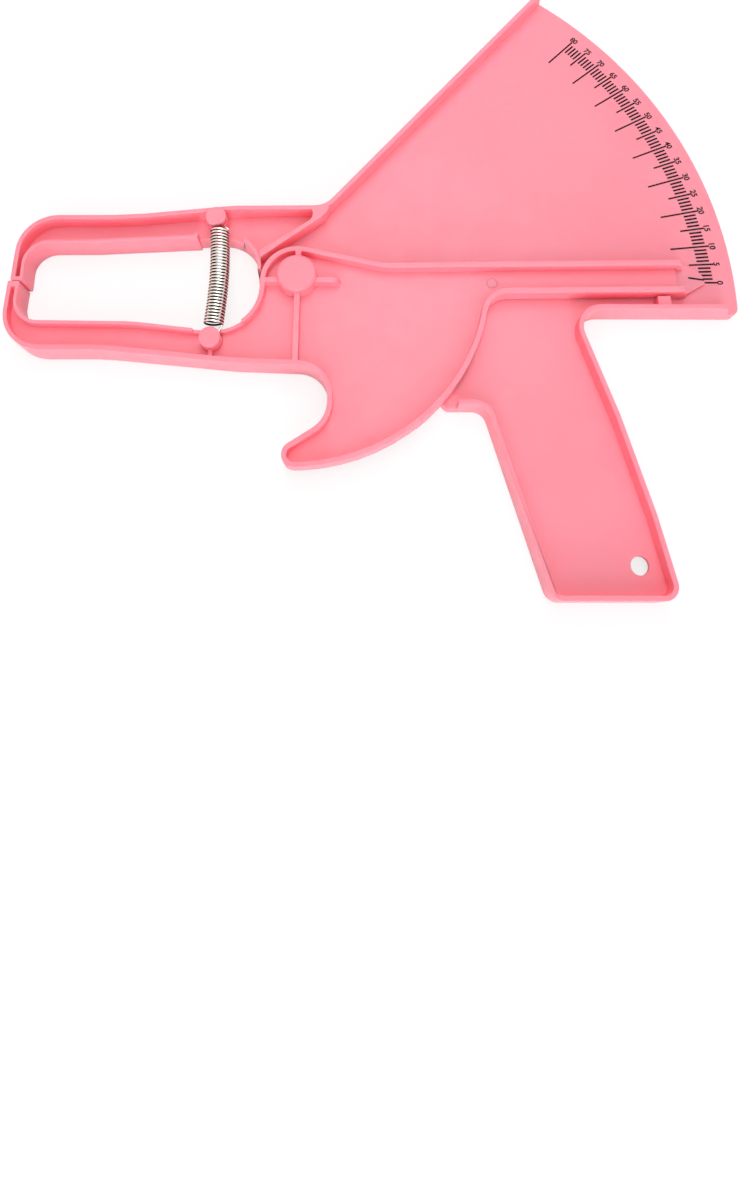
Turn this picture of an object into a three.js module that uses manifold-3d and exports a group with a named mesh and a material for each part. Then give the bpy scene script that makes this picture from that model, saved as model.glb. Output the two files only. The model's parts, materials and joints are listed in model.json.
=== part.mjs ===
import * as THREE from 'three';
import { mergeVertices } from 'three/addons/utils/BufferGeometryUtils.js';
import Module from 'manifold-3d';

const wasm = await Module();
wasm.setup();

// Skinfold caliper: two moulded plastic halves on one pivot, pulled shut by a tension spring.
// Millimetres. The caliper lies on its back, +Z is up out of its ribbed front faces.
// Places are measured from the pivot axis at the back plane; +X runs along the closed pointer arm.

// Levels above the back plane, shared by both halves
const backDepth = 3;
const frameWeb = 2;
const slideGap = 0.3;
const leverWeb = 2.3;
const rimHeight = 12;
const headRise = 2;
const tipPlate = 1.2;
const overrun = 3;

// Pivot, from the lever's core outwards
const screwRadius = 1.4;
const coreRadius = 3;
const hubWall = 1.9;
const bossWall = 2.2;
const bossCap = 2;
const bossEdgeRound = 1.4;
const lobeRadius = 14.3;
const lobeEdgeRound = 5.5;
const screwHeadRadius = 3.2;
const screwHeadHeight = 1.4;
const screwPoint = 1.6;
const recessWidth = 1;
const recessReach = 1.9;
const recessDepth = 0.9;
const washerRadius = 5;
const washerThickness = 0.8;

// Jaws: reach to the left of the pivot, rise and drop of their faces at the pivot
const jawReach = 108.5;
const armRise = 29.8;
const armDrop = 36.5;
const roofRise = 13.15;
const floorDrop = 19.1;
const contactDrop = 2.8;
const upperTipWidth = 4.6;
const lowerTipWidth = 4.3;
const tipRound = 0.6;
const openingEnd = 15.1;
const openingWallFoot = 2.5;
const openingRound = 14.6;

// Walls of the halves
const upperArmWall = 1.7;
const lowerArmWall = 2;
const jawNoseWall = 1.5;
const openingWall = 1.2;
const upperTipWall = 1.5;
const lowerTipWall = 2.2;
const openingEndWall = 1.4;
const gripWall = 1.8;
const hookWall = 1.9;
const pointerWall = 2.1;
const skirtWall = 1.8;
const ribWall = 2.2;
const ribShift = 0.35;
const crossRibWall = 2;
const crossRibDrop = 1.1;
const crossRibReach = 15.3;
const postRibWall = 1.7;
const innerRound = 0.4;
const pocketEndRound = 3;
const wallEndRound = 1.2;
const wallEndRun = 2.4;

// Scale plate
const sectorRadius = 170.2;
const diagonalAngle = 49.1;
const diagonalOffset = 11.8;
const ledgeDrop = 13.6;
const ledgeEndInset = 7.2;
const ledgeEndRun = 3.4;
const ledgeRound = 7.6;
const plateFootRound = 3.2;
const plateCornerRound = 2.5;
const stubInset = 8.9;
const stubWidth = 4.9;
const stubGap = 1.1;
const stubCut = 2;

// Grip, placed from the end of the trigger's guard
const shoulderStep = 2;
const shoulderLength = 15.5;
const shoulderRimLength = 9.8;
const gripLength = 66.9;
const gripSlant = 19;
const gripNeckWidth = 35.3;
const gripFootWidth = 43.5;
const gripFootRound = 5;
const gripShoulderRound = 5.5;
const hangingHoleRadius = 3.2;
const hangingHoleInset = 11.3;
const hangingHoleRise = 11.8;

// Trigger and pointer arm of the lever
const triggerRadius = 73.5;
const guardStep = 0.6;
const guardStartAngle = -51.8;
const guardEndAngle = -41.9;
const surroundRadius = 13.65;
const surroundDrop = 1.8;
const shoulderAngle = 12.5;
const pointerRootRise = 4.5;
const pointerEndRise = 6.5;
const pointerRootDrop = 8.4;
const pointerEndDrop = 6.5;
const pointerEndInset = 23.6;
const pointerTipInset = 12.2;
const hookReach = 12.5;
const hookTipReach = 3.3;
const hookRound = 11.5;
const hookTipRound = 4.5;
const triggerRound = 9;
const skirtEnd = 12;

// Spring posts, one on each half, and the spring
const postRadius = 4;
const postEdgeRound = 0.5;
const neckRadius = 1.9;
const neckHeight = 1.6;
const postCap = 2.2;
const upperPost = new THREE.Vector2(-32.1, 23.9);
const lowerPost = new THREE.Vector2(-31.2, -25.8);
const notchReachLeft = 6.8;
const notchReachRight = 11.1;
const notchSetBack = 1;
const notchGap = 0.5;
const hookGap = 0.5;
const wireDiameter = 0.76;
const coilGap = 0.5;
const coilRadius = 3.45;
const springNeckGap = 0.3;
const upperLead = 4.8;
const lowerLead = 5.8;
const upperLean = 1.5;
const lowerLean = 0.7;

// Limits: an edge that is dropped, a facet of a rounding, and a corner taken as straight
const leastEdge = 0.01;
const leastFacet = 0.3;
const flatSine = 0.2;

// Counts of facets
const roundSegments = 44;
const pinSegments = 36;
const sectorSegments = 30;
const triggerSegments = 16;
const guardSegments = 2;
const stepsPerCurl = 8;
const wireSides = 5;
const loopSteps = 10;
const headSteps = 4;
const leadSteps = 6;

// Levels worked out from the sizes above
const frameFront = backDepth + frameWeb;
const leverBack = frameFront + slideGap;
const leverFront = leverBack + leverWeb;
const headHeight = rimHeight + headRise;
const neckTop = headHeight - postCap;
const neckBottom = neckTop - neckHeight;
const springHeight = (neckTop + neckBottom) / 2;
const bossCeiling = headHeight - bossCap;
const hubBore = coreRadius + slideGap;
const hubRadius = hubBore + hubWall;
const bossBore = hubRadius + slideGap;
const bossRadius = bossBore + bossWall;

// Places worked out from the sizes above
const pointerEnd = sectorRadius - pointerEndInset;
const pointerReach = sectorRadius - pointerTipInset;
const stubStart = pointerEnd - stubInset;
const guardRadius = triggerRadius - guardStep;
const guardCorner = polar(guardRadius, guardEndAngle);
const gripShoulder = guardCorner.x + shoulderLength;
const gripShoulderDrop = shoulderStep - guardCorner.y;
const gripDrop = gripShoulderDrop + gripLength;
const gripFrontFoot = gripShoulder + gripSlant;
const gripBackTop = gripShoulder + gripNeckWidth;
const gripBackFoot = gripFrontFoot + gripFootWidth;

// Shares of the sizes that the outlines follow: along, up, corner radius
const upperBackShares = [
  [0.24, 0.985, 1.3],
  [0.608, 0.844, 4],
  [0.998, 0.835, 0.5],
  [1, 0.168, 0.4],
];
const roofShares = [[0.9625, 0.985, 0.646], [0.737, 1, 4.5]];
const notchRoofShare = 1.171;
const openingTopShare = 1.315;
const rootRoundShare = 0.3;
const lobeEdgeShares = [0.666, -0.265];
const gripBendShares = [0.67, 0.559];
const gripBendRoundShare = 2.8;
const floorShares = [
  [0.13, 1.168, 0.88],
  [0.335, 1.152, 1.5],
  [0.562, 1.005, 2],
  [0.969, 0.98, 0.47],
];
const lowerBackShares = [[1.008, 0.836, 0.44], [0.664, 0.833, 1.6], [0.203, 0.967, 1.6]];
const noseShare = 1.0074;
const hookBottomShare = 0.762;
const hookTipShare = 0.9;
const pointerTipShares = [[0.323, 1.14], [0.939, 0.38], [1, -0.15], [0.12, -1.06]];
const ribStartShares = [[-0.985, 0.65], [-0.94, 0.49]];
const ribTurnShares = [[0.399, 1.61], [0.665, 1.684]];
const ribPocketShare = 0.17;
const postRibShare = 0.93;

// One corner of an outline: its place, its rounding and the wall along the edge that follows it
function corner(x, y, round = 0, wall = 0) {
  return { x, y, round, wall };
}

function polar(radius, degrees) {
  const angle = THREE.MathUtils.degToRad(degrees);
  return new THREE.Vector2(radius * Math.cos(angle), radius * Math.sin(angle));
}

// Where two lines meet, each given by a point and a direction
function meet(pointA, directionA, pointB, directionB) {
  const across = directionA.cross(directionB);
  const along = pointB.clone().sub(pointA).cross(directionB) / across;
  return pointA.clone().addScaledVector(directionA, along);
}

// Closed outline with each corner replaced by an arc, which shrinks where its edges are too short
function roundedOutline(corners) {
  const count = corners.length;
  const sides = corners.map((from, i) => {
    const to = corners[(i + 1) % count];
    return new THREE.Vector2(to.x - from.x, to.y - from.y);
  });
  const turns = corners.map((_, i) => {
    const before = sides[(i + count - 1) % count];
    return Math.atan2(before.cross(sides[i]), before.dot(sides[i]));
  });
  const tangents = corners.map((at, i) => at.round * Math.tan(Math.abs(turns[i]) / 2));
  const limits = corners.map(() => 1);
  sides.forEach((side, i) => {
    const next = (i + 1) % count;
    const wanted = tangents[i] + tangents[next];
    const fit = wanted > side.length() ? side.length() / wanted : 1;
    limits[i] = Math.min(limits[i], fit);
    limits[next] = Math.min(limits[next], fit);
  });
  const points = [];
  corners.forEach((at, i) => {
    const tangent = tangents[i] * limits[i];
    const place = new THREE.Vector2(at.x, at.y);
    if (tangent === 0) {
      points.push(place);
      return;
    }
    const before = sides[(i + count - 1) % count].clone().normalize();
    const radius = at.round * limits[i] * Math.sign(turns[i]);
    const start = place.clone().addScaledVector(before, -tangent);
    const centre = new THREE.Vector2(start.x - before.y * radius, start.y + before.x * radius);
    const finest = Math.abs(turns[i]) / (2 * Math.PI) * roundSegments;
    const coarsest = Math.abs(turns[i] * radius) / leastFacet;
    const steps = Math.max(1, Math.ceil(Math.min(finest, coarsest)));
    for (let step = 0; step <= steps; step += 1) {
      points.push(start.clone().rotateAround(centre, turns[i] * step / steps));
    }
  });
  return points.filter((point, i) => point.distanceTo(points[(i + 1) % points.length]) > leastEdge);
}

// The outline moved inwards by each edge's wall; a negative wall opens the pocket past that edge
function inset(corners) {
  const count = corners.length;
  const moved = [];
  corners.forEach((at, i) => {
    const from = corners[(i + count - 1) % count];
    const to = corners[(i + 1) % count];
    const before = new THREE.Vector2(at.x - from.x, at.y - from.y).normalize();
    const after = new THREE.Vector2(to.x - at.x, to.y - at.y).normalize();
    const sine = before.cross(after);
    const flat = Math.abs(sine) < flatSine;
    const first = new THREE.Vector2(at.x - before.y * from.wall, at.y + before.x * from.wall);
    const second = new THREE.Vector2(at.x - after.y * at.wall, at.y + after.x * at.wall);
    if (flat && from.wall !== at.wall) {
      moved.push(corner(first.x, first.y), corner(second.x, second.y));
      return;
    }
    const place = flat ? first.clone().lerp(second, 0.5) : meet(first, before, second, after);
    const thickness = Math.max(from.wall, at.wall, 0);
    const round = sine > 0 ? Math.max(at.round - thickness, innerRound) : at.round + thickness;
    moved.push(corner(place.x, place.y, round));
  });
  return moved;
}

function withWall(corners, wall) {
  return corners.map((at) => ({ ...at, wall }));
}

// Solids for joining and cutting
function solidOf(geometry) {
  geometry.deleteAttribute('normal');
  geometry.deleteAttribute('uv');
  const merged = mergeVertices(geometry);
  const vertProperties = new Float32Array(merged.attributes.position.array);
  const triVerts = new Uint32Array(merged.index.array);
  return new wasm.Manifold(new wasm.Mesh({ numProp: 3, vertProperties, triVerts }));
}

function geometryOf(solid) {
  const mesh = solid.getMesh();
  const geometry = new THREE.BufferGeometry();
  geometry.setAttribute('position', new THREE.BufferAttribute(mesh.vertProperties, mesh.numProp));
  geometry.setIndex(new THREE.BufferAttribute(mesh.triVerts, 1));
  return geometry;
}

function prism(points, low, high) {
  const geometry = new THREE.ExtrudeGeometry(new THREE.Shape(points), {
    depth: high - low,
    bevelEnabled: false,
  });
  geometry.translate(0, 0, low);
  return solidOf(geometry);
}

function block(left, right, bottom, top, low, high) {
  const geometry = new THREE.BoxGeometry(right - left, top - bottom, high - low);
  geometry.translate((left + right) / 2, (bottom + top) / 2, (low + high) / 2);
  return solidOf(geometry);
}

// Wall from bottom to top whose right end slopes down from its rounded crest to its foot
function ramp(left, crest, foot, bottom, top, low, high) {
  const side = [
    corner(left, low),
    corner(foot, low),
    corner(crest, high, wallEndRound * 2),
    corner(left, high),
  ];
  return prism(roundedOutline(side), -top, -bottom).rotate([90, 0, 0]);
}

function cylinder(radius, low, high, centre = new THREE.Vector2()) {
  const geometry = new THREE.CylinderGeometry(radius, radius, high - low, pinSegments);
  geometry.rotateX(Math.PI / 2);
  geometry.translate(centre.x, centre.y, (low + high) / 2);
  return solidOf(geometry);
}

function turned(profile, centre = new THREE.Vector2()) {
  const points = profile.map(([radius, height]) => new THREE.Vector2(radius, height));
  const geometry = new THREE.LatheGeometry(points, pinSegments);
  geometry.rotateX(Math.PI / 2);
  geometry.translate(centre.x, centre.y, 0);
  return solidOf(geometry);
}

// Lines that both the outlines and the ribs use
const diagonalWay = polar(1, diagonalAngle);
const diagonalFoot = new THREE.Vector2(-diagonalWay.y, diagonalWay.x).multiplyScalar(diagonalOffset);
const level = new THREE.Vector2(1, 0);

function diagonalAt(radius) {
  const along = Math.sqrt(radius ** 2 - diagonalOffset ** 2);
  return diagonalFoot.clone().addScaledVector(diagonalWay, along);
}

function sectorCorners() {
  const last = diagonalAt(sectorRadius);
  const from = -Math.asin(ledgeDrop / sectorRadius);
  const to = Math.atan2(last.y, last.x);
  const corners = [];
  for (let step = 0; step <= sectorSegments; step += 1) {
    const angle = from + (to - from) * step / sectorSegments;
    corners.push(corner(sectorRadius * Math.cos(angle), sectorRadius * Math.sin(angle), 0, -overrun));
  }
  corners[0].round = plateFootRound;
  corners[sectorSegments].round = plateCornerRound;
  corners[sectorSegments].wall = gripWall;
  return corners;
}

function gripCorners() {
  const bend = new THREE.Vector2(
    gripBackTop + (gripBackFoot - gripBackTop) * gripBendShares[0],
    -ledgeDrop - (gripDrop - ledgeDrop) * gripBendShares[1],
  );
  return [
    corner(gripShoulder, -gripShoulderDrop, gripShoulderRound, gripWall),
    corner(gripFrontFoot, -gripDrop, gripFootRound, gripWall),
    corner(gripBackFoot, -gripDrop, gripFootRound, gripWall),
    corner(bend.x, bend.y, gripDrop * gripBendRoundShare, gripWall),
    corner(gripBackTop, -ledgeDrop, ledgeRound, gripWall),
    corner(sectorRadius - ledgeEndInset - wallEndRound, -ledgeDrop, 0, -overrun),
  ];
}

function upperJawCorners() {
  const root = meet(diagonalFoot, diagonalWay, new THREE.Vector2(0, armRise), level);
  const back = upperBackShares.map(([along, up, round]) => (
    corner(-jawReach * along, armRise * up, armRise * round, upperArmWall)
  ));
  const roof = roofShares.map(([along, up, round]) => (
    corner(-jawReach * along, roofRise * up, roofRise * round, openingWall)
  ));
  const notchStart = upperPost.x - notchReachLeft;
  const contact = slideGap / 2 - contactDrop;
  return [
    corner(root.x, root.y, armRise * rootRoundShare, upperArmWall),
    ...back,
    corner(-jawReach, contact, tipRound, upperTipWall),
    corner(upperTipWidth - jawReach, contact, tipRound, openingWall),
    ...roof,
    corner(notchStart, roofRise * notchRoofShare, 0, openingWall),
    corner(notchStart, roofRise * notchRoofShare + notchSetBack, 0, openingWall),
    corner(-openingEnd, roofRise * openingTopShare, openingRound, openingEndWall),
    corner(-openingEnd, openingWallFoot, 0, -overrun),
  ];
}

function lobeCorners() {
  const edge = lobeEdgeShares.map((share) => triggerRadius * share);
  const corners = [
    corner(-lobeRadius, -lobeRadius, lobeRadius, -overrun),
    corner(0, -lobeRadius, 0, -overrun),
    corner(edge[0], edge[1], lobeEdgeRound, -overrun),
  ];
  for (let step = 0; step <= guardSegments; step += 1) {
    const angle = guardStartAngle + (guardEndAngle - guardStartAngle) * step / guardSegments;
    const place = polar(guardRadius, angle);
    corners.push(corner(place.x, place.y, 0, -overrun));
  }
  corners.push(corner(guardCorner.x + shoulderStep, -gripShoulderDrop, shoulderStep, -overrun));
  corners.push(corner(gripShoulder - shoulderRimLength, -gripShoulderDrop, 0, gripWall));
  return corners;
}

const frameCorners = [...gripCorners(), ...sectorCorners(), ...upperJawCorners(), ...lobeCorners()];

// Rib that parts the upper jaw's channel from the scale plate
function partingRib() {
  const start = ribStartShares.map(([x, y]) => corner(openingEnd * x, openingEnd * y));
  const root = meet(diagonalFoot, diagonalWay, new THREE.Vector2(0, armRise), level);
  const inner = diagonalFoot.clone().addScaledVector(diagonalFoot.clone().normalize(), -gripWall);
  const bend = inner.clone().addScaledVector(diagonalWay, armRise);
  const end = root.x - armRise * ribPocketShare;
  const pocketEnd = [
    corner(end - pocketEndRound * 2, armRise - upperArmWall / 2),
    corner(end, armRise - upperArmWall, pocketEndRound),
  ];
  const turns = ribTurnShares.map(([x, y]) => (
    corner(openingEnd * x, openingEnd * y, armRise * rootRoundShare)
  ));
  const outline = [
    ...start,
    turns[1],
    corner(bend.x, bend.y),
    corner(root.x, root.y),
    ...pocketEnd,
    turns[0],
  ];
  return prism(roundedOutline(outline), backDepth, rimHeight);
}

// Rounded edge of a turned head, from its side up to its top
function headEdge(radius, height, round) {
  const points = [];
  for (let step = 0; step <= headSteps; step += 1) {
    const turn = polar(round, 90 * step / headSteps);
    points.push([radius - round + turn.x, height - round + turn.y]);
  }
  return points;
}

// Spring post with a neck under its head
function post(centre) {
  return turned([
    [0, frameFront],
    [postRadius, frameFront],
    [postRadius, neckBottom],
    [neckRadius, neckBottom],
    [neckRadius, neckTop],
    [postRadius, neckTop],
    ...headEdge(postRadius, headHeight, postEdgeRound),
    [0, headHeight],
  ], centre);
}

function stopStub() {
  const bottom = gripWall / 2 - ledgeDrop;
  const top = -(pointerEndDrop + stubGap);
  return block(stubStart, stubStart + stubWidth, bottom, top, backDepth, rimHeight - stubCut);
}

// Sloping end of the ledge's wall
function ledgeEnd() {
  const crest = sectorRadius - ledgeEndInset;
  const left = crest - wallEndRound * 2;
  const inner = gripWall - ledgeDrop;
  return ramp(left, crest, crest + ledgeEndRun, -ledgeDrop, inner, backDepth, rimHeight);
}

function upperNotch() {
  const top = springHeight - coilRadius - wireDiameter / 2 - notchGap;
  const left = upperPost.x - notchReachLeft;
  const right = upperPost.x + notchReachRight;
  return block(left, right, 0, upperPost.y - postRadius, top, rimHeight + overrun);
}

function frameMoulding() {
  const outline = roundedOutline(frameCorners);
  const front = roundedOutline(inset(frameCorners));
  const back = roundedOutline(inset(withWall(frameCorners, skirtWall)));
  const hole = new THREE.Vector2(gripBackFoot - hangingHoleInset, hangingHoleRise - gripDrop);
  return prism(outline, 0, rimHeight)
    .subtract(prism(front, frameFront, rimHeight + overrun))
    .add(partingRib())
    .add(stopStub())
    .add(ledgeEnd())
    .subtract(upperNotch())
    .subtract(prism(back, -overrun, backDepth))
    .add(post(upperPost))
    .add(cylinder(hubRadius, backDepth, bossCeiling - slideGap))
    .subtract(cylinder(hubBore, 0, headHeight))
    .subtract(cylinder(hangingHoleRadius, 0, headHeight, hole));
}

// Outline of the lever, from the pointer arm's end round the boss and the lower jaw to the trigger
function pointerEdges() {
  const topSlope = new THREE.Vector2(pointerEnd, pointerEndRise - pointerRootRise);
  const bottomSlope = new THREE.Vector2(pointerEnd, pointerRootDrop - pointerEndDrop);
  return {
    top: [new THREE.Vector2(0, pointerRootRise), topSlope],
    bottom: [new THREE.Vector2(0, -pointerRootDrop), bottomSlope],
  };
}

function surroundCorners() {
  const centre = new THREE.Vector2(0, -surroundDrop);
  const touch = polar(surroundRadius, 90 - shoulderAngle).add(centre);
  const slope = polar(1, -shoulderAngle);
  const { top } = pointerEdges();
  const bend = meet(touch, slope, ...top);
  const side = new THREE.Vector2(centre.x - surroundRadius, 0);
  const peak = meet(touch, slope, side, new THREE.Vector2(0, 1));
  return [
    corner(pointerEnd, pointerEndRise, 0, pointerWall),
    corner(bend.x, bend.y, surroundRadius, hookWall),
    corner(peak.x, peak.y, surroundRadius, hookWall),
  ];
}

function lowerJawCorners() {
  const contact = -(contactDrop + slideGap / 2);
  const nose = -jawReach * noseShare;
  const floor = floorShares.map(([along, down, round]) => (
    corner(-jawReach * along, -floorDrop * down, floorDrop * round, openingWall)
  ));
  const back = lowerBackShares.map(([along, down, round]) => (
    corner(-jawReach * along, -armDrop * down, armDrop * round, lowerArmWall)
  ));
  return [
    ...floor,
    corner(nose + lowerTipWidth, contact, tipRound, lowerTipWall),
    corner(nose, contact, tipRound, jawNoseWall),
    ...back,
  ];
}

function triggerCorners() {
  const tipDrop = Math.sqrt(triggerRadius ** 2 - hookTipReach ** 2);
  const { bottom } = pointerEdges();
  const from = Math.atan2(-tipDrop, -hookTipReach);
  const to = -Math.asin(pointerRootDrop / triggerRadius);
  const corners = [
    corner(hookReach, -armDrop, hookRound, hookWall),
    corner(hookReach, -triggerRadius * hookBottomShare, hookRound, hookWall),
    corner(-hookTipReach, -triggerRadius * hookTipShare, hookTipRound, hookWall),
    corner(-hookTipReach, -tipDrop, hookTipRound, hookWall),
  ];
  for (let step = 1; step < triggerSegments; step += 1) {
    const angle = from + (to - from) * step / triggerSegments;
    corners.push(corner(triggerRadius * Math.cos(angle), triggerRadius * Math.sin(angle), 0, hookWall));
  }
  const root = meet(...bottom, new THREE.Vector2(triggerRadius, 0), new THREE.Vector2(0, 1));
  corners.push(corner(root.x, root.y, triggerRound, pointerWall));
  corners.push(corner(pointerEnd, -pointerEndDrop, 0, -overrun));
  return corners;
}

const leverCorners = [...surroundCorners(), ...lowerJawCorners(), ...triggerCorners()];

function pointerTip() {
  const length = pointerReach - pointerEnd;
  const tip = pointerTipShares.map(([along, up]) => (
    corner(pointerEnd + length * along, pointerEndRise * up, innerRound)
  ));
  const heel = pointerEnd - pointerWall;
  const outline = [corner(heel, -pointerEndDrop), ...tip.reverse(), corner(heel, pointerEndRise)];
  return prism(roundedOutline(outline), leverBack, leverBack + tipPlate);
}

// Back skirt of the lower jaw and of the wall above the finger hook
function leverSkirt() {
  const outline = prism(roundedOutline(leverCorners), 0, leverFront);
  const pocket = prism(roundedOutline(inset(leverCorners)), -overrun, leverFront + overrun);
  const reach = jawReach + overrun;
  const jaw = block(-reach, skirtEnd, skirtEnd - triggerRadius * hookBottomShare, 0, 0, leverFront);
  const lobe = cylinder(lobeRadius + lowerArmWall, -overrun, rimHeight);
  return outline.subtract(pocket).intersect(jaw).subtract(lobe);
}

// Ribs that tie the pivot boss to the walls round it
function bossRibs() {
  const root = bossBore + bossWall / 2;
  const high = surroundRadius - surroundDrop - hookWall / 2;
  const bottom = lowerArmWall / 2 - armDrop;
  const left = ribShift - ribWall / 2;
  const right = left + ribWall;
  const low = -(crossRibDrop + crossRibWall);
  const end = crossRibReach + wallEndRun;
  return block(-surroundRadius, -root, low, -crossRibDrop, leverBack, rimHeight)
    .add(block(left, right, root, high, leverBack, rimHeight))
    .add(block(left, right, bottom, -root, leverBack, rimHeight))
    .add(ramp(root, crossRibReach, end, low, -crossRibDrop, leverBack, rimHeight));
}

function lowerPostRib() {
  const left = lowerPost.x - postRibWall / 2;
  const right = left + postRibWall;
  return block(left, right, -armDrop * postRibShare, lowerPost.y, leverBack, neckBottom);
}

// Sloping ends of the walls along the pointer arm
function pointerWallEnds() {
  const left = pointerEnd - wallEndRound;
  const crest = pointerEnd + wallEndRound;
  const foot = crest + wallEndRun;
  const tops = [pointerEndRise, pointerWall - pointerEndDrop];
  const ends = tops.map((top) => (
    ramp(left, crest, foot, top - pointerWall, top, leverBack, rimHeight)
  ));
  return ends[0].add(ends[1]);
}

function lowerNotch() {
  const top = springHeight - wireDiameter / 2 - hookGap;
  const left = lowerPost.x - notchReachLeft;
  const right = lowerPost.x + notchReachRight;
  return block(left, right, lowerPost.y, 0, top, rimHeight + overrun);
}

function leverMoulding() {
  const outline = roundedOutline(leverCorners);
  const front = roundedOutline(inset(leverCorners));
  const boss = turned([
    [0, leverBack],
    [bossRadius, leverBack],
    ...headEdge(bossRadius, headHeight, bossEdgeRound),
    [0, headHeight],
  ]);
  return prism(outline, leverBack, rimHeight)
    .subtract(prism(front, leverFront, rimHeight + overrun))
    .add(leverSkirt())
    .add(pointerTip())
    .add(pointerWallEnds())
    .add(bossRibs())
    .subtract(lowerNotch())
    .add(lowerPostRib())
    .add(post(lowerPost))
    .add(boss)
    .subtract(cylinder(bossBore, 0, bossCeiling))
    .add(cylinder(coreRadius, backDepth, headHeight - bossCap / 2))
    .subtract(cylinder(screwRadius + slideGap, 0, bossCeiling - slideGap));
}

// Screw from the back into the lever's core, and the washer under its head
function pivotWasher() {
  const top = backDepth - slideGap;
  const ring = cylinder(washerRadius, top - washerThickness, top);
  return ring.subtract(cylinder(screwRadius + slideGap, 0, backDepth));
}

function pivotScrew() {
  const headTop = backDepth - washerThickness - slideGap * 2;
  const headBottom = headTop - screwHeadHeight;
  const end = bossCeiling - slideGap * 2;
  const screw = turned([
    [0, headBottom],
    [screwHeadRadius - innerRound, headBottom],
    [screwHeadRadius, headBottom + innerRound],
    [screwHeadRadius, headTop],
    [screwRadius, headTop],
    [screwRadius, end - screwPoint],
    [0, end],
  ]);
  const half = recessWidth / 2;
  const deep = headBottom + recessDepth;
  return screw
    .subtract(block(-recessReach, recessReach, -half, half, headBottom - overrun, deep))
    .subtract(block(-half, half, -recessReach, recessReach, headBottom - overrun, deep));
}

// Route of the spring's wire: lower loop, coils, upper loop
function springRoute() {
  const loopRadius = neckRadius + springNeckGap + wireDiameter / 2;
  const start = new THREE.Vector3(lowerPost.x + lowerLean, lowerPost.y + lowerLead, springHeight);
  const end = new THREE.Vector3(upperPost.x + upperLean, upperPost.y - upperLead, springHeight);
  const body = end.clone().sub(start);
  const curls = Math.floor(body.length() / (wireDiameter + coilGap));
  const points = [];
  const loop = (centre, from) => {
    for (let step = 0; step <= loopSteps; step += 1) {
      const turn = polar(loopRadius, from + 180 * step / loopSteps);
      points.push(new THREE.Vector3(centre.x + turn.x, centre.y + turn.y, springHeight));
    }
  };
  const lead = (from, to, way) => {
    const leaving = new THREE.Vector3(0, way * wireDiameter * 2, 0).add(from);
    const meeting = new THREE.Vector3(0, 0, -way * wireDiameter).add(to);
    return new THREE.CubicBezierCurve3(from, leaving, meeting, to).getPoints(leadSteps);
  };
  points.push(new THREE.Vector3(lowerPost.x - loopRadius, lowerPost.y + wireDiameter, springHeight));
  loop(lowerPost, 180);
  const sideAt = (centre, away) => (
    new THREE.Vector3(centre.x + loopRadius, centre.y + away, springHeight)
  );
  const lowerSide = sideAt(lowerPost, wireDiameter * 2);
  const upperSide = sideAt(upperPost, -wireDiameter * 2);
  const coil = [];
  for (let step = 0; step <= curls * stepsPerCurl; step += 1) {
    const angle = step / stepsPerCurl * 2 * Math.PI;
    const place = start.clone().addScaledVector(body, step / (curls * stepsPerCurl));
    place.x += coilRadius * Math.cos(angle);
    place.z += coilRadius * Math.sin(angle);
    coil.push(place);
  }
  points.push(...lead(lowerSide, coil[0], 1).slice(0, -1));
  points.push(...coil);
  points.push(...lead(upperSide, coil[coil.length - 1], -1).reverse().slice(1));
  loop(upperPost, 0);
  points.push(new THREE.Vector3(upperPost.x - loopRadius, upperPost.y - wireDiameter, springHeight));
  return points;
}

// Tube with flat ends along a route of points
function tube(route, radius, sides) {
  const positions = [];
  const faces = [];
  const tangents = route.map((point, i) => {
    const before = route[Math.max(i - 1, 0)];
    const after = route[Math.min(i + 1, route.length - 1)];
    return after.clone().sub(before).normalize();
  });
  const side = new THREE.Vector3(0, 0, 1);
  route.forEach((point, i) => {
    side.addScaledVector(tangents[i], -side.dot(tangents[i])).normalize();
    const across = tangents[i].clone().cross(side);
    for (let k = 0; k < sides; k += 1) {
      const angle = k / sides * 2 * Math.PI;
      const spot = point.clone()
        .addScaledVector(side, radius * Math.cos(angle))
        .addScaledVector(across, radius * Math.sin(angle));
      positions.push(spot.x, spot.y, spot.z);
    }
  });
  const ring = (i, k) => i * sides + k % sides;
  for (let i = 0; i + 1 < route.length; i += 1) {
    for (let k = 0; k < sides; k += 1) {
      faces.push(ring(i, k), ring(i, k + 1), ring(i + 1, k));
      faces.push(ring(i, k + 1), ring(i + 1, k + 1), ring(i + 1, k));
    }
  }
  for (let k = 1; k + 1 < sides; k += 1) {
    faces.push(ring(0, 0), ring(0, k + 1), ring(0, k));
    faces.push(ring(route.length - 1, 0), ring(route.length - 1, k), ring(route.length - 1, k + 1));
  }
  const geometry = new THREE.BufferGeometry();
  geometry.setAttribute('position', new THREE.Float32BufferAttribute(positions, 3));
  geometry.setIndex(faces);
  return geometry;
}

// Least gap between stretches of the wire that are not neighbours
function leastGap(route, diameter) {
  let least = Infinity;
  for (let i = 0; i < route.length; i += 1) {
    for (let j = i + stepsPerCurl - 2; j < route.length; j += 1) {
      least = Math.min(least, route[i].distanceTo(route[j]));
    }
  }
  return least - diameter;
}

const plastic = { color: 0xff97a0, roughness: 0.45, metalness: 0 };
const steel = { color: 0xc2bcb2, roughness: 0.28, metalness: 1 };

function piece(name, geometry, look) {
  const mesh = new THREE.Mesh(geometry, new THREE.MeshStandardMaterial(look));
  mesh.name = name;
  return mesh;
}

const route = springRoute();
console.log(`least gap of the spring to itself: ${leastGap(route, wireDiameter).toFixed(2)} mm`);

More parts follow.
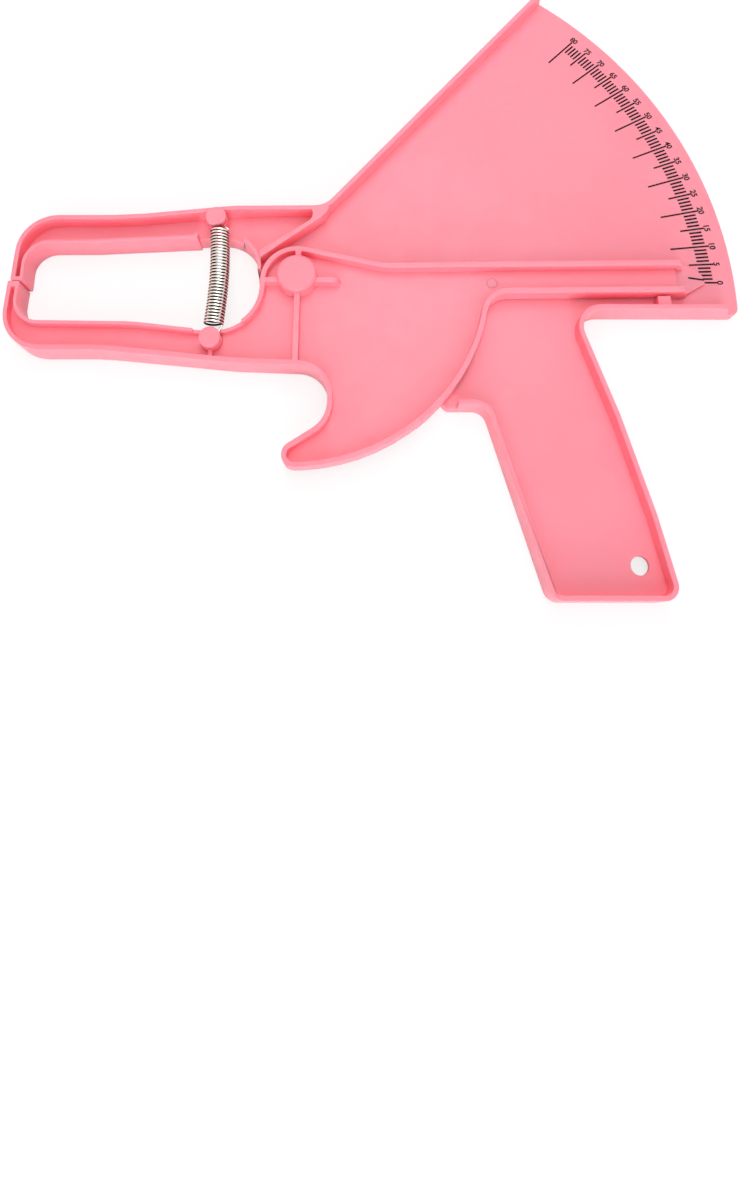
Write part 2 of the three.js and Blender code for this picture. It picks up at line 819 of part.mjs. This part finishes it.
const caliper = new THREE.Group();
caliper.add(piece('frame', geometryOf(frameMoulding()), plastic));
caliper.add(piece('lever', geometryOf(leverMoulding()), plastic));
caliper.add(piece('tension_spring', tube(route, wireDiameter / 2, wireSides), steel));
caliper.add(piece('pivot_screw', geometryOf(pivotScrew()), steel));
caliper.add(piece('pivot_washer', geometryOf(pivotWasher()), steel));

// The origin is under the middle of the footprint, on the back plane
const middle = new THREE.Box3().setFromObject(caliper).getCenter(new THREE.Vector3());
caliper.position.set(-middle.x, -middle.y, 0);

export default caliper;
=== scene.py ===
import json
import math

import bmesh
import bpy
from mathutils import Matrix, Vector


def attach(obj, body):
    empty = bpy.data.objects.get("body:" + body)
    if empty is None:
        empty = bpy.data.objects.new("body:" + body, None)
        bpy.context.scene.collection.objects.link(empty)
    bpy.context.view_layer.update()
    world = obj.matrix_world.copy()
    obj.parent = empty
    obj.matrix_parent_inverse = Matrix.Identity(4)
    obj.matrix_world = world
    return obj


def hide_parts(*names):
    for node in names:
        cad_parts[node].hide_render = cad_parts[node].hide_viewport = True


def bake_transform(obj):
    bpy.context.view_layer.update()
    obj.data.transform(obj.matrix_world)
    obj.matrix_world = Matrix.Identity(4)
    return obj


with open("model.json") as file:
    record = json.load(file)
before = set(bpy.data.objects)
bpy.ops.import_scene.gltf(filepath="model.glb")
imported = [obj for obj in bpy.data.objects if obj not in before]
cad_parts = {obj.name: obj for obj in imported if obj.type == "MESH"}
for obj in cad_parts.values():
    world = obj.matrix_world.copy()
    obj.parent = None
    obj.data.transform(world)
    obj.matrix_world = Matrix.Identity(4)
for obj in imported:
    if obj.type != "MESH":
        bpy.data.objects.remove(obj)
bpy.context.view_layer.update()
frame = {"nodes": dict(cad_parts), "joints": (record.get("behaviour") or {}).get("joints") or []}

MM = 0.001
PIVOT = Vector(frame["joints"][0]["pos_m"])
OPEN_DEGREES = frame["joints"][0]["range_deg"][1]

# Levels that the printed marks lie on, and how proud ink and moulded marks stand
SCALE_LEVEL = 5.0 * MM
LEVER_LEVEL = 7.6 * MM
TIP_LEVEL = 6.5 * MM
INK_PROUD = 0.02 * MM
MARK_PROUD = 0.14 * MM

# Printed scale: its top value, the steps of its numerals and of its longest ticks, and the
# inner and outer radius of each kind of tick
SCALE_TOP = 80
NUMERAL_STEP = 5
LONG_STEP = 10
LONG_TICK_WIDTH = 0.66 * MM
SHORT_TICK_WIDTH = 0.72 * MM
TEN_TICK = (147.7 * MM, 163.4 * MM)
FIVE_TICK = (153.6 * MM, 163.4 * MM)
ONE_TICK = (156.9 * MM, 161.9 * MM)
NUMERAL_RADIUS = 164.45 * MM
NUMERAL_SIZE = 3.25 * MM
NUMERAL_BOLDNESS = 0.085 * MM

# Pointer mark on the lever's tip
POINTER_FROM = Vector((151.8, 1.4)) * MM
POINTER_TO = Vector((157.7, 0.5)) * MM
POINTER_WIDTH = 0.7 * MM

# Ring that an ejector pin left on the lever's arm
RING_CENTRE = Vector((75.1, -1.6)) * MM
RING_RADIUS = 2.0 * MM
RING_WIDTH = 0.36 * MM
RING_SEGMENTS = 64
RING_SIDES = 8

# Tension spring: its wire runs round both posts, its coils bow towards the pivot, and LEAD_SHADE
# is how far the wire beside the coils counts as the inside of a curl, which is painted in shade
UPPER_POST = Vector((-32.1, 23.9, 11.0)) * MM
LOWER_POST = Vector((-31.2, -25.8, 11.0)) * MM
WIRE_RADIUS = 0.41 * MM
LOOP_RADIUS = 2.6 * MM
COIL_RADIUS = 3.45 * MM
COIL_COUNT = 31
COIL_START = Vector((0.7, 5.8, 0.0)) * MM
COIL_END = Vector((1.5, -4.8, 0.0)) * MM
COIL_BOW = 1.0 * MM
LEAD_SHADE = 0.12
# The wire stays bright up to the first share of the inside and is fully darkened by painted shade from
# the second
BRIGHT_UP_TO, PAINTED_SHADE_FROM = 0.08, 0.3
STEPS_PER_COIL = 24
WIRE_SIDES = 12

# Softened edges of the mouldings and of the metal pieces
EDGE_ROUND = 0.2 * MM
METAL_EDGE_ROUND = 0.1 * MM
EDGE_STEPS = 3
EDGE_DEGREES = 32
FLAT_DEGREES = 0.5
WELD_REACH = 0.15 * MM

# The photograph's camera: picture size, focal length, principal point and offsets in its pixels,
# its tilt and turn, and the real size of a pixel at the scale's level
PHOTO_WIDTH, PHOTO_HEIGHT = 742, 1200
FOCAL_PIXELS = 853.4
PRINCIPAL = Vector((371.0, 300.0))
CAMERA_TILT = math.radians(-21.65)
CAMERA_TURN = math.radians(0.48)
CAMERA_OFFSET = Vector((-31.7, 30.2, 0.0))
OBJECT_OFFSET = Vector((40.9, 12.7, 0.0))
UNIT = 0.391 * MM
SENSOR_WIDTH = 36
NEAREST_SEEN, FURTHEST_SEEN = 0.01, 20

# Studio: how much of the paper's look is its own white, the sky's strength and the paper's place
PAPER_GLOW = 0.74
SKY_STRENGTH = 0.5
PAPER_REACH = 6.0
PAPER_DROP = 0.2 * MM

# Lamps: place, the place each one points at, diameter and power
MIDDLE = (0, 0, 0)
LAMPS = {
    "front_low": ((0.3, -3.0, 0.8), MIDDLE, 1.0, 36),
    "front_high": ((0, -2.4, 1.95), MIDDLE, 2.4, 35),
    "above": ((0, 0.15, 2.0), MIDDLE, 0.6, 9),
    "sheen": ((0.02, 0.3, 0.55), (0, 0.03, 0), 0.4, 1.25),
}

# The part of a noise's values that is spread over a material's range
NOISE_FROM, NOISE_TO = 0.3, 0.7

# Colours, linear: the two ends of each material's range, and the painted shade between the spring's
# curls
PINKS = ((0.97, 0.24, 0.3, 1), (0.99, 0.262, 0.328, 1))
INKS = ((0.018, 0.0008, 0.002, 1), (0.035, 0.003, 0.005, 1))
WIRES = ((0.86, 0.8, 0.71, 1), (0.96, 0.9, 0.82, 1))
PLATINGS = ((0.6, 0.61, 0.64, 1), (0.72, 0.73, 0.75, 1))
PAPERS = ((0.9, 0.9, 0.9, 1), (0.93, 0.93, 0.93, 1))
PAINTED_CURL_SHADE = (0.018, 0.013, 0.014, 1)
WHITE = (1, 1, 1, 1)


# Materials
def new_material(name):
    material = bpy.data.materials.new(name)
    material.use_nodes = True
    tree = material.node_tree
    shader = tree.nodes["Principled BSDF"]
    return material, tree, shader


def add_noise(tree, scale, detail, low=0.0, high=1.0):
    """A noise over the object's own coordinates, mapped to the range low to high."""
    place = tree.nodes.new("ShaderNodeTexCoord")
    noise = tree.nodes.new("ShaderNodeTexNoise")
    noise.inputs["Scale"].default_value = scale
    noise.inputs["Detail"].default_value = detail
    spread = tree.nodes.new("ShaderNodeMapRange")
    spread.inputs["From Min"].default_value = NOISE_FROM
    spread.inputs["From Max"].default_value = NOISE_TO
    spread.inputs["To Min"].default_value = low
    spread.inputs["To Max"].default_value = high
    tree.links.new(place.outputs["Object"], noise.inputs["Vector"])
    tree.links.new(noise.outputs["Fac"], spread.inputs["Value"])
    return spread.outputs["Result"]


def mix_colour(tree, factor, ends):
    """A colour between two ends."""
    mix = tree.nodes.new("ShaderNodeMix")
    mix.data_type = "RGBA"
    mix.inputs["A"].default_value = ends[0]
    mix.inputs["B"].default_value = ends[1]
    tree.links.new(factor, mix.inputs["Factor"])
    return mix.outputs["Result"]


def add_bump(tree, shader, height, strength, distance):
    bump = tree.nodes.new("ShaderNodeBump")
    bump.inputs["Strength"].default_value = strength
    bump.inputs["Distance"].default_value = distance
    tree.links.new(height, bump.inputs["Height"])
    tree.links.new(bump.outputs["Normal"], shader.inputs["Normal"])


def pink_plastic():
    """Moulded pink plastic: faint flow clouds, a fine grain and an uneven semi-matte gloss."""
    material, tree, shader = new_material("pink_plastic")
    clouds = add_noise(tree, scale=26, detail=3)
    gloss = add_noise(tree, scale=140, detail=4, low=0.4, high=0.52)
    grain = add_noise(tree, scale=3800, detail=2)
    tree.links.new(mix_colour(tree, clouds, PINKS), shader.inputs["Base Color"])
    tree.links.new(gloss, shader.inputs["Roughness"])
    add_bump(tree, shader, grain, strength=0.12, distance=0.06 * MM)
    shader.inputs["Specular IOR Level"].default_value = 0.42
    shader.inputs["Subsurface Weight"].default_value = 0.7
    shader.inputs["Subsurface Radius"].default_value = (1.0, 0.22, 0.26)
    shader.inputs["Subsurface Scale"].default_value = 6 * MM
    return material


def black_ink():
    """Printed black, a little uneven where it takes the plastic's grain."""
    material, tree, shader = new_material("black_ink")
    patches = add_noise(tree, scale=900, detail=3)
    gloss = add_noise(tree, scale=2200, detail=2, low=0.6, high=0.8)
    tree.links.new(mix_colour(tree, patches, INKS), shader.inputs["Base Color"])
    tree.links.new(gloss, shader.inputs["Roughness"])
    shader.inputs["Specular IOR Level"].default_value = 0.12
    return material


def steel(name, colours, scale, low, high):
    """Bright metal with faint patches, a fine grain and a roughness between low and high."""
    material, tree, shader = new_material(name)
    patches = add_noise(tree, scale, detail=3)
    gloss = add_noise(tree, scale * 3, detail=4, low=low, high=high)
    grain = add_noise(tree, scale * 8, detail=2)
    tree.links.new(mix_colour(tree, patches, colours), shader.inputs["Base Color"])
    tree.links.new(gloss, shader.inputs["Roughness"])
    add_bump(tree, shader, grain, strength=0.1, distance=0.03 * MM)
    shader.inputs["Metallic"].default_value = 1.0
    return material, tree, shader


def spring_steel():
    """Bright drawn wire, with shade painted on the inside of its curls."""
    material, tree, shader = steel("spring_steel", WIRES, scale=420, low=0.16, high=0.3)
    bright = shader.inputs["Base Color"].links[0].from_socket
    depth = tree.nodes.new("ShaderNodeAttribute")
    depth.attribute_name = "inside"
    spread = tree.nodes.new("ShaderNodeMapRange")
    spread.interpolation_type = "SMOOTHSTEP"
    spread.inputs["From Min"].default_value = BRIGHT_UP_TO
    spread.inputs["From Max"].default_value = PAINTED_SHADE_FROM
    tree.links.new(depth.outputs["Fac"], spread.inputs["Value"])
    # Painted shade: the wire's colour darkens towards the inside of its curls
    painted_shade = tree.nodes.new("ShaderNodeMix")
    painted_shade.data_type = "RGBA"
    painted_shade.inputs["B"].default_value = PAINTED_CURL_SHADE
    tree.links.new(spread.outputs["Result"], painted_shade.inputs["Factor"])
    tree.links.new(bright, painted_shade.inputs["A"])
    tree.links.new(painted_shade.outputs["Result"], shader.inputs["Base Color"])
    return material


def plated_steel():
    return steel("plated_steel", PLATINGS, scale=300, low=0.22, high=0.38)[0]


# Mesh pieces
def link(name, mesh, material):
    mesh.materials.clear()
    mesh.materials.append(material)
    piece = bpy.data.objects.new(name, mesh)
    bpy.context.scene.collection.objects.link(piece)
    return piece


def on_caliper(flat, level):
    """A place given from the pivot, at a height above the back plane."""
    return Vector((PIVOT.x + flat[0], PIVOT.y + flat[1], level))


def around(radius, degrees):
    angle = math.radians(degrees)
    return Vector((radius * math.cos(angle), radius * math.sin(angle)))


def add_bar(shape, start, end, width, level):
    """A thin flat bar between two places, with its underside sunk in the plastic."""
    along = (end - start).normalized()
    side = Vector((-along.y, along.x)) * width / 2
    flat = [start - side, end - side, end + side, start + side]
    top = [shape.verts.new(on_caliper(place, level + INK_PROUD)) for place in flat]
    low = [shape.verts.new(on_caliper(place, level - INK_PROUD)) for place in flat]
    shape.faces.new(top)
    shape.faces.new(list(reversed(low)))
    for i in range(len(flat)):
        after = (i + 1) % len(flat)
        shape.faces.new((low[i], low[after], top[after], top[i]))


def mesh_of(shape, name):
    mesh = bpy.data.meshes.new(name)
    bmesh.ops.recalc_face_normals(shape, faces=shape.faces)
    shape.to_mesh(mesh)
    shape.free()
    return mesh


def scale_angle(value):
    return OPEN_DEGREES * value / SCALE_TOP


def scale_ticks(ink):
    shape = bmesh.new()
    for value in range(SCALE_TOP + 1):
        (inner, outer), width = ONE_TICK, SHORT_TICK_WIDTH
        if value % NUMERAL_STEP == 0:
            (inner, outer), width = FIVE_TICK, LONG_TICK_WIDTH
        if value % LONG_STEP == 0:
            inner, outer = TEN_TICK
        angle = scale_angle(value)
        add_bar(shape, around(inner, angle), around(outer, angle), width, SCALE_LEVEL)
    return link("scale_ticks", mesh_of(shape, "scale_ticks"), ink)


def scale_numerals(ink):
    """Numerals at every fifth tick, their tops turned to the plate's rim."""
    shape = bmesh.new()
    for value in range(0, SCALE_TOP + 1, NUMERAL_STEP):
        words = bpy.data.curves.new("numeral", "FONT")
        words.body = str(value)
        words.size = NUMERAL_SIZE
        words.align_x = "CENTER"
        words.align_y = "CENTER"
        words.extrude = INK_PROUD
        words.offset = NUMERAL_BOLDNESS
        writing = bpy.data.objects.new("numeral", words)
        bpy.context.scene.collection.objects.link(writing)
        bpy.context.view_layer.update()
        mesh = bpy.data.meshes.new_from_object(writing)
        angle = scale_angle(value)
        place = Matrix.Translation(on_caliper(around(NUMERAL_RADIUS, angle), SCALE_LEVEL))
        mesh.transform(place @ Matrix.Rotation(math.radians(angle - 90), 4, "Z"))
        shape.from_mesh(mesh)
        bpy.data.objects.remove(writing)
        bpy.data.curves.remove(words)
        bpy.data.meshes.remove(mesh)
    return link("scale_numerals", mesh_of(shape, "scale_numerals"), ink)


def pointer_mark(ink):
    shape = bmesh.new()
    add_bar(shape, POINTER_FROM, POINTER_TO, POINTER_WIDTH, TIP_LEVEL)
    return link("pointer_mark", mesh_of(shape, "pointer_mark"), ink)


def ejector_ring(plastic):
    """A faint raised ring with a rounded crest."""
    shape = bmesh.new()
    rings = []
    for i in range(RING_SEGMENTS):
        way = around(1, 360 * i / RING_SEGMENTS)
        ring = []
        for k in range(RING_SIDES + 1):
            across = math.pi * k / RING_SIDES
            flat = RING_CENTRE + way * (RING_RADIUS + RING_WIDTH / 2 * math.cos(across))
            rise = MARK_PROUD * (math.sin(across) * 2 - 1)
            ring.append(shape.verts.new(on_caliper(flat, LEVER_LEVEL + rise)))
        rings.append(ring)
    for this, following in zip(rings, rings[1:] + rings[:1]):
        for k in range(RING_SIDES):
            shape.faces.new((this[k], following[k], following[k + 1], this[k + 1]))
        shape.faces.new((this[-1], following[-1], following[0], this[0]))
    for face in shape.faces:
        face.smooth = True
    return link("ejector_ring", mesh_of(shape, "ejector_ring"), plastic)


# Spring
def coil_axis(share):
    """The coils' middle line, which bows a little towards the pivot."""
    straight = (LOWER_POST + COIL_START).lerp(UPPER_POST + COIL_END, share)
    return straight + Vector((COIL_BOW * math.sin(math.pi * share), 0, 0))


def spring_route():
    """The wire's middle line: a loop round the lower post, the coils and a loop round the upper post."""
    wire = WIRE_RADIUS * 2
    steps = COIL_COUNT * STEPS_PER_COIL
    coil = []
    for step in range(steps + 1):
        angle = 2 * math.pi * step / STEPS_PER_COIL
        turn = Vector((math.cos(angle), 0, math.sin(angle))) * COIL_RADIUS
        coil.append(coil_axis(step / steps) + turn)
    lower_side = LOWER_POST + Vector((LOOP_RADIUS, wire * 2, 0))
    upper_side = UPPER_POST + Vector((LOOP_RADIUS, -wire * 2, 0))
    route = [LOWER_POST + Vector((-LOOP_RADIUS, wire, 0))]
    route += loop_round(LOWER_POST, 180)
    route += lead(lower_side, coil[0], 1)
    route += coil[1:-1]
    route += reversed(lead(upper_side, coil[-1], -1))
    route += loop_round(UPPER_POST, 0)
    route.append(UPPER_POST + Vector((-LOOP_RADIUS, -wire, 0)))
    return route


def loop_round(centre, first):
    """Half a turn round a post, from the angle first on."""
    steps = STEPS_PER_COIL
    return [
        centre + around(LOOP_RADIUS, first + 180 * step / steps).to_3d()
        for step in range(steps + 1)
    ]


def lead(start, end, way):
    """A smooth curve from a loop's side to the end of the coils."""
    wire = WIRE_RADIUS * 2
    leaving = start + Vector((0, way * wire * 2, 0))
    meeting = end - Vector((0, 0, way * wire))
    steps = STEPS_PER_COIL // 2
    points = []
    for step in range(steps + 1):
        t = step / steps
        first = start.lerp(leaving, t)
        middle = leaving.lerp(meeting, t)
        last = meeting.lerp(end, t)
        points.append(first.lerp(middle, t).lerp(middle.lerp(last, t), t))
    return points


def inward(place, way):
    """One where way points at the coils' middle line, nought where it points away from it."""
    axis_start = coil_axis(0)
    axis = coil_axis(1) - axis_start
    share = (place - axis_start).dot(axis) / axis.length_squared
    if not 0 < share < 1:
        return LEAD_SHADE
    centre = coil_axis(share)
    return 0.5 + 0.5 * way.normalized().dot((centre - place).normalized())


def tube(route, radius, sides):
    """A round wire along a route; each point keeps how far it lies to the inside of the curls, the share
    that sets its painted shade.
    """
    shape = bmesh.new()
    inside = shape.verts.layers.float.new("inside")
    side = Vector((0, 0, 1))
    rings = []
    for i, place in enumerate(route):
        along = (route[min(i + 1, len(route) - 1)] - route[max(i - 1, 0)]).normalized()
        side = (side - along * side.dot(along)).normalized()
        across = along.cross(side)
        ring = []
        for k in range(sides):
            angle = 2 * math.pi * k / sides
            spot = PIVOT + place + (side * math.cos(angle) + across * math.sin(angle)) * radius
            vertex = shape.verts.new(spot)
            vertex[inside] = inward(place, spot - PIVOT - place)
            ring.append(vertex)
        rings.append(ring)
    for this, following in zip(rings, rings[1:]):
        for k in range(sides):
            after = (k + 1) % sides
            shape.faces.new((this[k], this[after], following[after], following[k]))
    shape.faces.new(list(reversed(rings[0])))
    shape.faces.new(rings[-1])
    for face in shape.faces:
        face.smooth = len(face.verts) == 4
    return shape


def spring(material):
    shape = tube(spring_route(), WIRE_RADIUS, WIRE_SIDES)
    piece = link("spring_wire", mesh_of(shape, "spring_wire"), material)
    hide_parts("tension_spring")
    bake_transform(piece)


# Carried-over solids
def dress(node, material, edge_round):
    """Gives a CAD solid its material and softens its sharp edges."""
    solid = frame["nodes"][node]
    solid.data.materials.clear()
    solid.data.materials.append(material)
    for face in solid.data.polygons:
        face.use_smooth = True
    weld = solid.modifiers.new("weld", "WELD")
    weld.merge_threshold = WELD_REACH
    flats = solid.modifiers.new("flats", "DECIMATE")
    flats.decimate_type = "DISSOLVE"
    flats.angle_limit = math.radians(FLAT_DEGREES)
    bevel = solid.modifiers.new("bevel", "BEVEL")
    bevel.width = edge_round
    bevel.segments = EDGE_STEPS
    bevel.limit_method = "ANGLE"
    bevel.angle_limit = math.radians(EDGE_DEGREES)
    bevel.use_clamp_overlap = False
    bevel.loop_slide = False
    bevel.face_strength_mode = "FSTR_ALL"
    shade = solid.modifiers.new("shade", "WEIGHTED_NORMAL")
    shade.mode = "FACE_AREA"
    shade.use_face_influence = True


# Studio
def world_from_view(flat):
    """Turns a direction or place in the camera's axes into the caliper's."""
    tilt = Matrix.Rotation(CAMERA_TILT, 3, "X")
    turn = Matrix.Rotation(CAMERA_TURN, 3, "Y")
    return (tilt @ turn).transposed() @ Vector(flat)


def photo_camera():
    """The photograph's camera, standing where the picture was taken from."""
    data = bpy.data.cameras.new("camera")
    camera = bpy.data.objects.new("camera", data)
    bpy.context.scene.collection.objects.link(camera)
    from_object = world_from_view(Vector((0, 0, FOCAL_PIXELS)) - CAMERA_OFFSET)
    camera.location = PIVOT + (from_object + OBJECT_OFFSET) * UNIT + Vector((0, 0, SCALE_LEVEL))
    axes = [world_from_view(axis) for axis in ((1, 0, 0), (0, 1, 0), (0, 0, 1))]
    camera.rotation_mode = "QUATERNION"
    camera.rotation_quaternion = Matrix(axes).transposed().to_quaternion()
    data.sensor_width = SENSOR_WIDTH
    data.lens = SENSOR_WIDTH * FOCAL_PIXELS / PHOTO_HEIGHT
    data.shift_x = (PHOTO_WIDTH / 2 - PRINCIPAL.x) / PHOTO_HEIGHT
    data.shift_y = (PRINCIPAL.y - PHOTO_HEIGHT / 2) / PHOTO_HEIGHT
    data.clip_start = NEAREST_SEEN
    data.clip_end = FURTHEST_SEEN
    bpy.context.scene.camera = camera


def seen_share(tree):
    """One for what the camera sees directly, in a reflection or through a clear piece."""
    rays = tree.nodes.new("ShaderNodeLightPath")
    seen = rays.outputs["Is Camera Ray"]
    for kind in ("Is Glossy Ray", "Is Transmission Ray"):
        either = tree.nodes.new("ShaderNodeMath")
        either.operation = "MAXIMUM"
        tree.links.new(seen, either.inputs[0])
        tree.links.new(rays.outputs[kind], either.inputs[1])
        seen = either.outputs[0]
    return seen


def floor_material():
    """White paper: it shows nearly white to the camera and in reflections, and keeps the soft shadow."""
    material, tree, shader = new_material("floor")
    patches = add_noise(tree, scale=12, detail=2)
    tree.links.new(mix_colour(tree, patches, PAPERS), shader.inputs["Base Color"])
    shader.inputs["Roughness"].default_value = 0.9
    shader.inputs["Specular IOR Level"].default_value = 0.1
    share = tree.nodes.new("ShaderNodeMath")
    share.operation = "MULTIPLY"
    share.inputs[1].default_value = PAPER_GLOW
    tree.links.new(seen_share(tree), share.inputs[0])
    glow = tree.nodes.new("ShaderNodeEmission")
    glow.inputs["Color"].default_value = WHITE
    glow.inputs["Strength"].default_value = 1.0
    both = tree.nodes.new("ShaderNodeMixShader")
    tree.links.new(share.outputs[0], both.inputs[0])
    tree.links.new(shader.outputs[0], both.inputs[1])
    tree.links.new(glow.outputs[0], both.inputs[2])
    tree.links.new(both.outputs[0], tree.nodes["Material Output"].inputs["Surface"])
    return material


def floor():
    shape = bmesh.new()
    corners = [(-1, -1), (1, -1), (1, 1), (-1, 1)]
    places = [(x * PAPER_REACH, y * PAPER_REACH, -PAPER_DROP) for x, y in corners]
    shape.faces.new([shape.verts.new(place) for place in places])
    link("floor", mesh_of(shape, "floor"), floor_material())


def lamp(name, place, target, size, power):
    data = bpy.data.lights.new(name, "AREA")
    data.shape = "DISK"
    data.size = size
    data.energy = power
    light = bpy.data.objects.new(name, data)
    bpy.context.scene.collection.objects.link(light)
    light.location = place
    light.rotation_mode = "QUATERNION"
    light.rotation_quaternion = (Vector(target) - Vector(place)).to_track_quat("-Z", "Y")


def studio():
    """A weak white sky, seen as full white, and the lamps."""
    world = bpy.data.worlds.new("studio")
    world.use_nodes = True
    tree = world.node_tree
    sky = tree.nodes["Background"]
    sky.inputs["Color"].default_value = WHITE
    strength = tree.nodes.new("ShaderNodeMapRange")
    strength.inputs["To Min"].default_value = SKY_STRENGTH
    tree.links.new(seen_share(tree), strength.inputs["Value"])
    tree.links.new(strength.outputs["Result"], sky.inputs["Strength"])
    bpy.context.scene.world = world
    for name, setting in LAMPS.items():
        lamp(name, *setting)
    bpy.context.scene.view_settings.view_transform = "Standard"


def build():
    plastic = pink_plastic()
    ink = black_ink()
    dress("frame", plastic, EDGE_ROUND)
    dress("lever", plastic, EDGE_ROUND)
    plated = plated_steel()
    dress("pivot_screw", plated, METAL_EDGE_ROUND)
    dress("pivot_washer", plated, METAL_EDGE_ROUND)
    for mark in (scale_ticks(ink), scale_numerals(ink)):
        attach(mark, "frame")
    for mark in (pointer_mark(ink), ejector_ring(plastic)):
        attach(mark, "lever")
    spring(spring_steel())
    photo_camera()
    floor()
    studio()


build()
bpy.context.view_layer.update()
